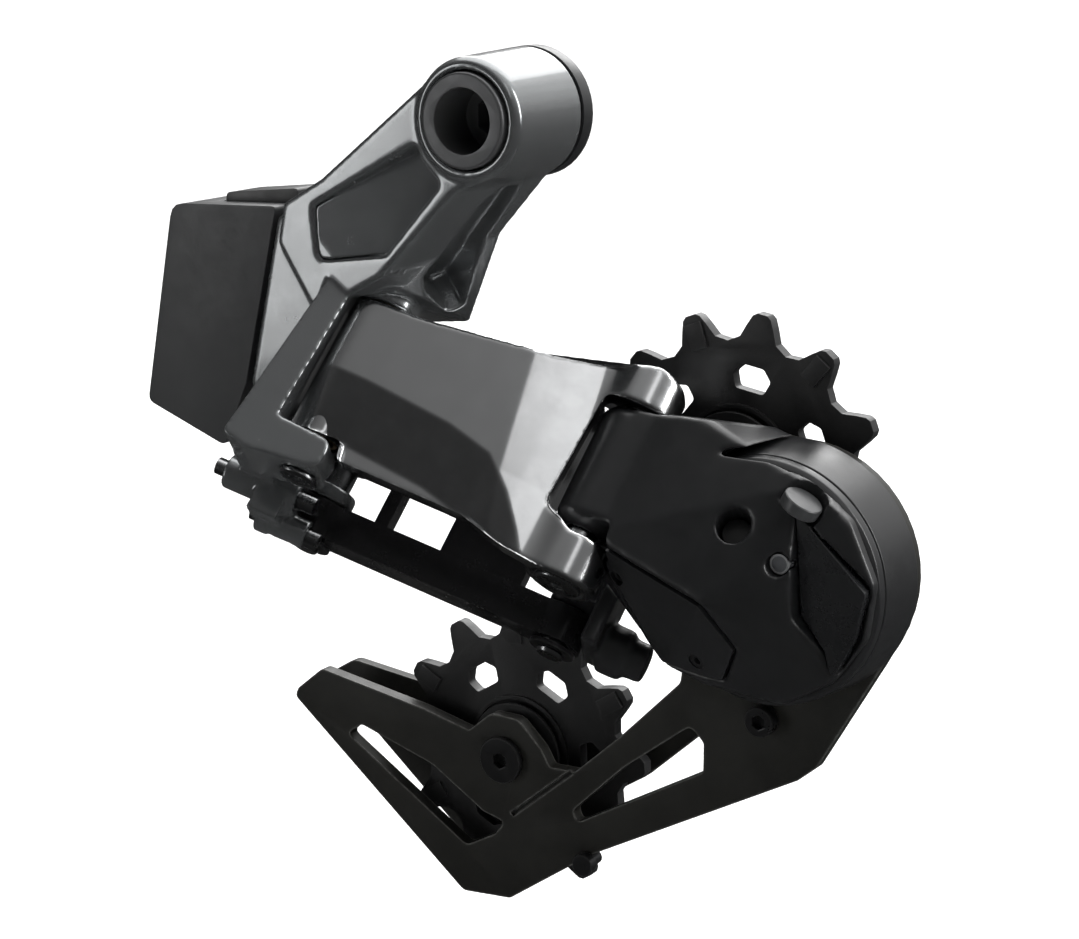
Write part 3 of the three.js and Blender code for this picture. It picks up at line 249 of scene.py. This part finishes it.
# Looks that differ from their slot's: where the finish is the same but the surface is smoother or paler.
SPECIAL = {
    "inner_link": material("inner_link_black", (0.009, 0.009, 0.0095), 0.24, metallic=0.4, grain=0.03, edge_wear_and_highlight=0.12,
                           edge_wear_and_highlight_colour=(0.08, 0.08, 0.08)),
    "hanger_bolt": material("bolt_grey", (0.085, 0.086, 0.088), 0.40, metallic=0.6, grain=0.06, grain_size=0.2,
                            edge_wear_and_highlight=0.4, edge_wear_and_highlight_colour=(0.2, 0.2, 0.2)),
    "status_ring": material("lens_ring", (0.12, 0.122, 0.125), 0.2, coat=0.5, grain=0.02),
    "cage_lock_button": material("button_black", (0.030, 0.031, 0.032), 0.38, specular=0.45, grain=0.10,
                                 grain_size=0.22, edge_wear_and_highlight=0.3, edge_wear_and_highlight_colour=(0.09, 0.09, 0.09)),
    "end_plate": material("plate_black", (0.014, 0.0145, 0.0155), 0.28, metallic=0.35, grain=0.06, grain_size=0.2),
}


# ------------------------------------------------------------------ pieces

def in_scene(name, data):
    """A new object in the scene that shows this mesh, light or camera."""
    obj = bpy.data.objects.new(name, data)
    bpy.context.scene.collection.objects.link(obj)
    return obj


def finish_mesh(bm, angle=SMOOTH_ANGLE):
    """Turns its faces outwards and smooths across every edge blunter than angle."""
    bmesh.ops.recalc_face_normals(bm, faces=bm.faces)
    for face in bm.faces:
        face.smooth = True
    for edge in bm.edges:
        if len(edge.link_faces) == 2:
            edge.smooth = edge.calc_face_angle(0) < math.radians(angle)


def piece(name, bm, node, replaces=True, angle=SMOOTH_ANGLE):
    """Puts a finished mesh in the scene, riding where the CAD node rides."""
    finish_mesh(bm, angle)
    mesh = bpy.data.meshes.new(name)
    bm.to_mesh(mesh)
    bm.free()
    obj = in_scene(name, mesh)
    slot = SLOTS[node]
    mesh.materials.append(SPECIAL.get(name.removesuffix("_skin")) or LOOKS[slot])
    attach(obj, NODES[node]["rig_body"])
    if replaces:
        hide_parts(node)


def copy_of(node):
    """The CAD solid's mesh, with its flat faces whole again."""
    bm = bmesh.new()
    bm.from_mesh(NODES[node].data)
    bmesh.ops.remove_doubles(bm, verts=bm.verts, dist=WELD)
    bmesh.ops.dissolve_limit(bm, angle_limit=math.radians(1.0), verts=bm.verts, edges=bm.edges)
    return bm


def softened(node, width):
    """Puts in the CAD solid with its sharp edges rounded by width, in mm."""
    bm = copy_of(node)
    sharp = [e for e in bm.edges if len(e.link_faces) == 2 and e.calc_face_angle(0) > math.radians(BEVEL_ANGLE)]
    bmesh.ops.bevel(bm, geom=sharp, offset=width * MM, segments=3, profile=0.6, affect="EDGES",
                    clamp_overlap=True, harden_normals=False)
    piece(node + "_skin", bm, node)


def relax(bm, times, chosen=None):
    """Smooths every vertex, or those chosen, a number of times."""
    verts = bm.verts[:] if chosen is None else [v for v, keep in zip(bm.verts, chosen) if keep]
    for _ in range(times):
        bmesh.ops.smooth_vert(bm, verts=verts, factor=0.5, use_axis_x=True, use_axis_y=True, use_axis_z=True)


def points_of(bm):
    """Its vertices in millimetres."""
    return np.array([v.co[:] for v in bm.verts]) / MM


def in_link(points):
    """World millimetres to the link frame: x along the links, y along the pins, z outwards."""
    return points @ TO_LINK[:3, :3].T + TO_LINK[:3, 3] / MM


def to_world(points):
    """Link frame millimetres to the world."""
    return (points - TO_LINK[:3, 3] / MM) @ TO_LINK[:3, :3]


def voxel_skin(node, voxel, smooth, extra=0, mask=None, shape=None, finish=1):
    """Puts in the CAD solid remeshed finely, its edges melted into fillets.

    voxel is in mm; smooth, extra and finish count smoothing passes, extra where mask says so, and shape moves points.
    """
    bm = bmesh.new()
    bm.from_mesh(NODES[node].data)
    bmesh.ops.remove_doubles(bm, verts=bm.verts, dist=WELD)
    mesh = bpy.data.meshes.new(node + "_work")
    bm.to_mesh(mesh)
    bm.free()
    work = in_scene(node + "_work", mesh)
    remesh = work.modifiers.new("remesh", "REMESH")
    remesh.mode = "VOXEL"
    remesh.voxel_size = voxel * MM
    depsgraph = bpy.context.evaluated_depsgraph_get()
    dense = bpy.data.meshes.new_from_object(work.evaluated_get(depsgraph))
    bpy.data.objects.remove(work)
    bm = bmesh.new()
    bm.from_mesh(dense)
    bpy.data.meshes.remove(dense)
    relax(bm, smooth)
    if extra:
        relax(bm, extra, mask(points_of(bm)))
    if shape:
        bm.normal_update()
        normals = np.array([v.normal[:] for v in bm.verts])
        for vert, point in zip(bm.verts, shape(points_of(bm), normals)):
            vert.co = Vector(point) * MM
    relax(bm, finish)
    piece(node + "_skin", bm, node, angle=75)


def lathe(profile, frame_matrix, sides):
    """Ring of revolution about the frame's z, from a closed profile of (radius, height) in mm clear of the axis."""
    bm = bmesh.new()
    rings = []
    for radius, height in profile:
        rings.append([bm.verts.new(frame_matrix @ Vector((
            radius * MM * math.cos(2 * math.pi * i / sides), radius * MM * math.sin(2 * math.pi * i / sides),
            height * MM))) for i in range(sides)])
    for a, b in zip(rings, rings[1:] + rings[:1]):
        for i in range(sides):
            k = (i + 1) % sides
            bm.faces.new((a[i], b[i], b[k], a[k]))
    return bm


def rounded(points, radius, steps=4):
    """Corners of a closed profile replaced by short arcs."""
    result = []
    count = len(points)
    for i, (x, y) in enumerate(points):
        before = Vector(points[i - 1]) - Vector((x, y))
        after = Vector(points[(i + 1) % count]) - Vector((x, y))
        reach = min(radius, 0.45 * before.length, 0.45 * after.length)
        a = Vector((x, y)) + before.normalized() * reach
        b = Vector((x, y)) + after.normalized() * reach
        for k in range(steps + 1):
            t = k / steps
            p = (1 - t) ** 2 * a + 2 * t * (1 - t) * Vector((x, y)) + t ** 2 * b
            result.append((p.x, p.y))
    return result


# Width of each node's rounded edges, in mm.
EDGES = {
    "battery_latch": 0.3, "battery_contacts": 0.1, "b_adjust_screw": 0.15, "outer_pin_b": 0.15, "outer_bush_b": 0.1,
    "inner_pin_b": 0.15, "inner_clip_b": 0.1, "outer_pin_p": 0.2, "outer_bush_p": 0.1, "inner_pin_p": 0.15,
    "inner_clip_p": 0.1, "limit_screw_high": 0.15, "limit_screw_low": 0.15, "inner_link": 0.5, "sector_gear": 0.05,
    "drive_gear": 0.05, "motor_can": 0.2, "gearbox_cover": 0.3, "end_plate": 0.25, "function_button": 0.3,
    "status_lens": 0.2, "cage_lock_button": 0.4, "circuit_board": 0.1, "housing_screw_1": 0.1, "housing_screw_2": 0.1,
    "cage_spring": 0.2, "clutch_sleeve": 0.2, "cage_bearing": 0.2, "cage_axle": 0.2, "cage_outer_plate": 0.75,
    "cage_inner_plate": 0.5, "cage_peg": 0.25, "cage_stop_bolt": 0.3, "upper_bearing": 0.15, "upper_sleeve": 0.1,
    "lower_bearing": 0.15, "lower_sleeve": 0.1, "upper_cover_outboard": 0.2, "upper_cover_inboard": 0.2,
    "lower_cover_outboard": 0.2, "lower_cover_inboard": 0.2, "upper_pulley_bolt": 0.25, "lower_pulley_bolt": 0.25,
    "upper_pulley": 0.3, "lower_pulley": 0.3, "hanger_bolt": 0.25, "b_stop_washer": 0.3, "hanger_bush": 0.1,
    "battery_pack": 0.9,
}
for name, width in EDGES.items():
    softened(name, width)


def ramp(values, low, high):
    """Smooth step from 0 at low to 1 at high."""
    t = np.clip((values - low) / (high - low), 0, 1)
    return t * t * (3 - 2 * t)


def below_line(x, y, line):
    """How far y is under a polyline of (x, y) points."""
    xs = [p[0] for p in line]
    ys = [p[1] for p in line]
    return np.interp(x, xs, ys) - y


# Creases on the outer link, in mm: the panel is under CREASE, given as (x, y) in the link frame, and the flare is
# beyond FLARE, given as (y, x). Each slope is the fall per mm past its crease.
CREASE = [(-8, -2.0), (4, -2.4), (20, -4.0), (28, -6.0), (33, -10.5), (37, -15.5), (40, -20), (54, -24)]
FLARE = [(-20, 33.5), (-8, 30.5), (4, 28.5), (16, 26.5)]
PANEL_SLOPE, FLARE_SLOPE, DEEPEST = 0.25, 0.17, 2.7


def shape_outer_link(points, normals):
    """Sinks the outward face below the crease and beyond the flare's start, by at most DEEPEST."""
    p = in_link(points)
    facing = ramp(normals @ TO_LINK[:3, :3].T[:, 2], 0.2, 0.6)
    under = below_line(p[:, 0], p[:, 1], CREASE)
    depth = PANEL_SLOPE * np.clip(under - 0.2, 0, 11) * (1 - ramp(p[:, 0], 36, 42))
    start = np.interp(p[:, 1], [y for y, _ in FLARE], [x for _, x in FLARE])
    flare = FLARE_SLOPE * np.clip(p[:, 0] - start, 0, 12) * (1 - ramp(p[:, 0], 39.5, 44.5))
    p[:, 2] -= facing * ramp(p[:, 0], -6.5, -3.5) * np.minimum(depth + flare, DEEPEST)
    return to_world(p)


# Recess in the knuckle's arm, in mm: y of its floor where it runs out, how much deeper it is beside the bolt, and the
# radius round the hanger axis that it stays out of. Along the arm's direction it deepens over RECESS_LENGTH.
RECESS_TOP, RECESS_FALL, BARREL_RADIUS = -20.35, 4.6, 9.3
ARM, RECESS_START, RECESS_LENGTH = (0.72, 0.70), -36.0, 26.0


def shape_knuckle(points, normals):
    """The recess in the arm is a wedge: deepest beside the bolt, running out at its lower end."""
    p = points.copy()
    facing = ramp(-normals[:, 1], 0.2, 0.7)
    reach = (p[:, 0] * ARM[0] + p[:, 2] * ARM[1] - RECESS_START) / RECESS_LENGTH
    floor_zone = ramp(p[:, 1], -20.2, -19.6) * (1 - ramp(p[:, 1], -17.6, -17.0))
    in_arm = (p[:, 0] > -31.5) & (p[:, 0] < -4.5) & (p[:, 2] > -26)
    in_arm &= np.hypot(p[:, 0], p[:, 2]) > BARREL_RADIUS
    wanted = RECESS_TOP + RECESS_FALL * np.clip(reach, 0, 1)
    change = np.clip(wanted - p[:, 1], -2.0, 2.6)
    p[:, 1] += np.where(in_arm, facing * floor_zone * change, 0)
    return p


def corners(node):
    """The low and high corners of a node's box, in mm."""
    return tuple(np.array(corner[:]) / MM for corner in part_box(node))


def far_from(points, **radii):
    """True for the points further than its radius from the middle of each node named."""
    keep = np.ones(len(points), bool)
    for node, radius in radii.items():
        keep &= np.linalg.norm(points - sum(corners(node)) / 2, axis=1) > radius
    return keep


def knuckle_mask(points):
    """Everything but the small bosses of the limit screws and the foot round the outer pin."""
    p = in_link(points)
    return ~((p[:, 1] < -15.5) & (p[:, 2] < 3))


def housing_mask(points):
    """The body's faceted faces, away from its barrel and its recesses."""
    p = in_link(points)
    keep = far_from(points, function_button=5.0, status_lens=3.2, cage_lock_button=6.0)
    return keep & ~((p[:, 0] < 51) & (p[:, 2] < 3)) & (points[:, 1] < 0)


voxel_skin("b_knuckle", 0.28, 3, extra=7, mask=knuckle_mask, shape=shape_knuckle, finish=1)
voxel_skin("outer_link", 0.28, 8, shape=shape_outer_link, finish=3)
voxel_skin("motor_housing", 0.30, 4, extra=20, mask=housing_mask)

# Damper drum: turned, with a fine groove behind its front edge and a light chamfer at its back edge.
DRUM_BORE, DRUM_INSIDE, DRUM_FLOOR = 4.3, 18.6, 2.2
drum_low, drum_high = corners("damper_drum")
rim = (drum_high[0] - drum_low[0]) / 2
front, back = drum_low[1], drum_high[1]
drum_profile = rounded([
    (DRUM_BORE, front), (rim - 2.0, front), (rim - 1.2, front + 0.8), (rim - 1.05, front + 2.2),
    (rim - 1.3, front + 2.35), (rim - 1.28, front + 2.6), (rim - 0.98, front + 2.75), (rim, back - 0.7),
    (rim - 0.7, back), (DRUM_INSIDE, back), (DRUM_INSIDE, front + DRUM_FLOOR), (DRUM_BORE, front + DRUM_FLOOR),
], 0.18)
piece("damper_drum_skin", lathe(drum_profile, along_y(CAGE), 144), "damper_drum", angle=40)

# Pale ring round the status lens.
RING_INSIDE, RING_OUTSIDE, RING_PROUD, RING_SUNK = 1.25, 1.62, 0.05, 0.6
lens_low, lens_high = corners("status_lens")
lens_middle = (lens_low + lens_high) / 2 * MM
ring_front, ring_back = lens_low[1] - RING_PROUD, lens_low[1] + RING_SUNK
ring_profile = rounded([(RING_INSIDE, ring_front), (RING_OUTSIDE, ring_front), (RING_OUTSIDE, ring_back),
                        (RING_INSIDE, ring_back)], 0.06)
piece("status_ring", lathe(ring_profile, along_y(lens_middle), 64), "status_lens", replaces=False, angle=40)

# ------------------------------------------------------------------ floor, light and camera

FLOOR_DROP = 0.03        # the floor is this far under the lowest piece
FLOOR_HALF = 6.0
SKY_GAIN = 2.0
SKY_TOP = (0.22, 0.48, 0.85)
STOPS = [(0.0, 0.01), (0.5, 0.02), (0.66, 0.06), (0.77, 0.15), (0.88, 0.55), (1.0, 1.0)]
MIDDLE = (0.0, 0.0, -0.06)

low = min(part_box(n)[0].z for n in NODES)
bm = bmesh.new()
bmesh.ops.create_grid(bm, x_segments=4, y_segments=4, size=FLOOR_HALF)
for v in bm.verts:
    v.co.z = low - FLOOR_DROP
floor_mesh = bpy.data.meshes.new("floor")
bm.to_mesh(floor_mesh)
bm.free()
floor = in_scene("floor", floor_mesh)
floor_mesh.materials.append(material("floor_white", (0.95, 0.95, 0.95), 0.9, specular=0.0, grain=0.02, mottle=0.005))
floor.visible_glossy = False

# Sky brightness by direction: bright towards SKY_TOP, overhead and behind the object, and dark in front and below.
world = bpy.data.worlds.new("studio")
bpy.context.scene.world = world
world.use_nodes = True
sky = world.node_tree
background = sky.nodes["Background"]
direction = sky.nodes.new("ShaderNodeTexCoord")
towards = sky.nodes.new("ShaderNodeVectorMath")
towards.operation = "DOT_PRODUCT"
towards.inputs[1].default_value = unit(SKY_TOP)
heights = sky.nodes.new("ShaderNodeValToRGB")
stretch = sky.nodes.new("ShaderNodeMapRange")
stretch.inputs["From Min"].default_value = -1.0
stretch.inputs["From Max"].default_value = 1.0
gain = sky.nodes.new("ShaderNodeVectorMath")
gain.operation = "SCALE"
gain.inputs["Scale"].default_value = SKY_GAIN
sky.links.new(direction.outputs["Generated"], towards.inputs[0])
sky.links.new(towards.outputs["Value"], stretch.inputs["Value"])
sky.links.new(stretch.outputs["Result"], heights.inputs["Fac"])
sky.links.new(heights.outputs["Color"], gain.inputs[0])
sky.links.new(gain.outputs["Vector"], background.inputs["Color"])
while len(heights.color_ramp.elements) < len(STOPS):
    heights.color_ramp.elements.new(0.5)
for element, (position, value) in zip(heights.color_ramp.elements, STOPS):
    element.position = position
    element.color = (value, value, value, 1)
background.inputs["Strength"].default_value = 1.0


def softbox(name, position, size, power):
    """An area light that faces the object."""
    light = bpy.data.lights.new(name, "AREA")
    light.shape = "RECTANGLE"
    light.size, light.size_y = size
    light.energy = power
    obj = in_scene(name, light)
    obj.location = position
    obj.rotation_euler = (Vector(MIDDLE) - Vector(position)).to_track_quat("-Z", "Y").to_euler()


softbox("key", (-0.50, -0.60, 0.02), (0.14, 0.42), 0.75)
softbox("flare", (0.54, -0.36, 0.58), (0.16, 0.36), 0.26)
softbox("right", (0.62, 0.12, 0.22), (0.10, 0.5), 3)
softbox("back", (-0.25, 0.65, 0.35), (0.6, 0.25), 1.8)
ceiling = bpy.data.lights.new("ceiling", "SUN")
ceiling.energy = 2.2
ceiling.angle = math.radians(70)
in_scene("ceiling", ceiling).rotation_euler = (math.radians(-28), math.radians(-10), 0)
bpy.context.scene.view_settings.view_transform = "Standard"

camera_data = bpy.data.cameras.new("camera")
camera_data.sensor_width = 36
camera_data.sensor_fit = "HORIZONTAL"
camera_data.lens = 80.07
camera_data.clip_start = 0.01
camera = in_scene("camera", camera_data)
camera.location = (0.2096, -0.3335, 0.0354)
camera.rotation_euler = (math.radians(90 - 13.65), 0, math.radians(32.1))
bpy.context.scene.camera = camera
